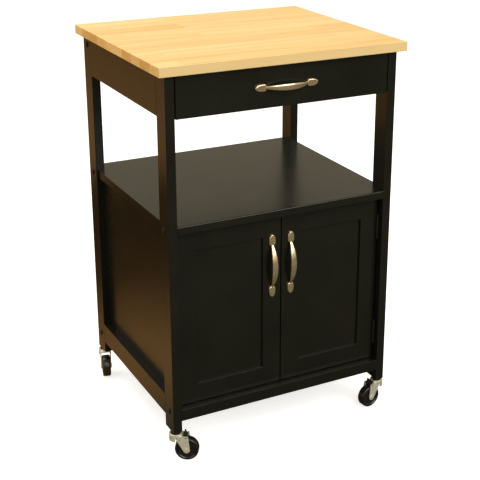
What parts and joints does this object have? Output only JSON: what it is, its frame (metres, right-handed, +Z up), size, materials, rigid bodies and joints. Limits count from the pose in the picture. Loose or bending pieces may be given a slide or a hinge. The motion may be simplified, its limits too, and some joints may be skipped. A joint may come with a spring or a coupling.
{
  "type": "microwave cart",
  "caption": "Kitchen microwave cart: wood block top, drawer, open shelf and two-door cabinet in a black frame on four swivel casters.",
  "frame": {"origin": "on the floor under the middle of the box that bounds the cart", "axes": "+Z up, +X to the right seen from the front, the doors and drawer face -Y"},
  "size_m": [0.595, 0.52, 0.914],
  "materials": {
    "butcher_block": "light hardwood staves joined into a block, satin oil",
    "black_paint": "board and solid wood under satin black paint",
    "satin_nickel": "satin nickel, brushed along its length",
    "zinc_plate": "zinc plated stamped steel",
    "wheel_rubber": "hard black rubber, slightly glossy side",
    "black_plastic": "black moulded plastic",
    "black_hardware": "black painted steel",
    "plain_steel": "bright steel",
    "drawer_board": "clear finished board"
  },
  "bodies": {
    "frame": {"worktop": "butcher_block", "front_left_leg": "black_paint", "front_right_leg": "black_paint", "rear_left_leg": "black_paint", "rear_right_leg": "black_paint", "left_side_apron": "black_paint", "left_side_rail": "black_paint", "left_side_panel": "black_paint", "right_side_apron": "black_paint", "right_side_rail": "black_paint", "right_side_panel": "black_paint", "rear_apron": "black_paint", "shelf": "black_paint", "front_lower_rail": "black_paint", "rear_lower_rail": "black_paint", "cabinet_floor": "black_paint", "cabinet_back": "black_paint", "frame_bolts": "black_hardware", "worktop_brackets": "plain_steel", "worktop_screws": "plain_steel", "drawer_runner_channels": "plain_steel", "fixed_hinge_leaves": "black_hardware", "hinge_pins": "black_hardware", "magnetic_catches": "black_plastic", "caster_stems": "black_hardware", "caster_sockets": "zinc_plate"},
    "drawer": {"drawer_front": "black_paint", "drawer_left_side": "drawer_board", "drawer_right_side": "drawer_board", "drawer_back": "drawer_board", "drawer_bottom": "drawer_board", "drawer_runner_bars": "plain_steel", "drawer_pull": "satin_nickel", "drawer_pull_screws": "plain_steel"},
    "left_door": {"left_door_frame": "black_paint", "left_door_panel": "black_paint", "left_door_hinge_leaves": "black_hardware", "left_door_pull": "satin_nickel", "left_door_pull_screws": "plain_steel", "left_door_strike": "plain_steel"},
    "right_door": {"right_door_frame": "black_paint", "right_door_panel": "black_paint", "right_door_hinge_leaves": "black_hardware", "right_door_pull": "satin_nickel", "right_door_pull_screws": "plain_steel", "right_door_strike": "plain_steel"},
    "front_left_fork": {"front_left_caster_fork": "zinc_plate", "front_left_caster_axle": "zinc_plate"},
    "front_left_wheel": {"front_left_caster_wheel": "wheel_rubber"},
    "front_left_pedal": {"front_left_brake_pedal": "black_plastic"},
    "front_right_fork": {"front_right_caster_fork": "zinc_plate", "front_right_caster_axle": "zinc_plate"},
    "front_right_wheel": {"front_right_caster_wheel": "wheel_rubber"},
    "front_right_pedal": {"front_right_brake_pedal": "black_plastic"},
    "rear_left_fork": {"rear_left_caster_fork": "zinc_plate", "rear_left_caster_axle": "zinc_plate"},
    "rear_left_wheel": {"rear_left_caster_wheel": "wheel_rubber"},
    "rear_right_fork": {"rear_right_caster_fork": "zinc_plate", "rear_right_caster_axle": "zinc_plate"},
    "rear_right_wheel": {"rear_right_caster_wheel": "wheel_rubber"}
  },
  "joints": [
    {"name": "drawer_slide", "type": "slide", "parent": "frame", "child": "drawer", "axis": [0, -1, 0], "range_m": [0, 0.3]},
    {"name": "left_door_hinge", "type": "hinge", "parent": "frame", "child": "left_door", "pos_m": [-0.2558, -0.2242, 0.33], "axis": [0, 0, 1], "range_deg": [-105, 0]},
    {"name": "right_door_hinge", "type": "hinge", "parent": "frame", "child": "right_door", "pos_m": [0.2558, -0.2242, 0.33], "axis": [0, 0, 1], "range_deg": [0, 105]},
    {"name": "front_left_caster_swivel", "type": "hinge", "parent": "frame", "child": "front_left_fork", "pos_m": [-0.2695, -0.22525, 0.066], "axis": [0, 0, 1], "continuous": true},
    {"name": "front_left_wheel_spin", "type": "hinge", "parent": "front_left_fork", "child": "front_left_wheel", "pos_m": [-0.24807, -0.23813, 0.0275], "axis": [0.515, 0.8572, 0], "continuous": true},
    {"name": "front_left_brake", "type": "hinge", "parent": "front_left_fork", "child": "front_left_pedal", "pos_m": [-0.24936, -0.23735, 0.0589], "axis": [0.515, 0.8572, 0], "range_deg": [0, 35]},
    {"name": "front_right_caster_swivel", "type": "hinge", "parent": "frame", "child": "front_right_fork", "pos_m": [0.2695, -0.22525, 0.066], "axis": [0, 0, 1], "continuous": true},
    {"name": "front_right_wheel_spin", "type": "hinge", "parent": "front_right_fork", "child": "front_right_wheel", "pos_m": [0.24488, -0.22959, 0.0275], "axis": [0.1736, -0.9848, 0], "continuous": true},
    {"name": "front_right_brake", "type": "hinge", "parent": "front_right_fork", "child": "front_right_pedal", "pos_m": [0.24636, -0.22933, 0.0589], "axis": [0.1736, -0.9848, 0], "range_deg": [0, 35]},
    {"name": "rear_left_caster_swivel", "type": "hinge", "parent": "frame", "child": "rear_left_fork", "pos_m": [-0.2695, 0.24125, 0.066], "axis": [0, 0, 1], "continuous": true},
    {"name": "rear_left_wheel_spin", "type": "hinge", "parent": "rear_left_fork", "child": "rear_left_wheel", "pos_m": [-0.27597, 0.2171, 0.0275], "axis": [0.9659, -0.2588, 0], "continuous": true},
    {"name": "rear_right_caster_swivel", "type": "hinge", "parent": "frame", "child": "rear_right_fork", "pos_m": [0.2695, 0.24125, 0.066], "axis": [0, 0, 1], "continuous": true},
    {"name": "rear_right_wheel_spin", "type": "hinge", "parent": "rear_right_fork", "child": "rear_right_wheel", "pos_m": [0.26602, 0.21649, 0.0275], "axis": [0.9903, -0.1392, 0], "continuous": true}
  ]
}
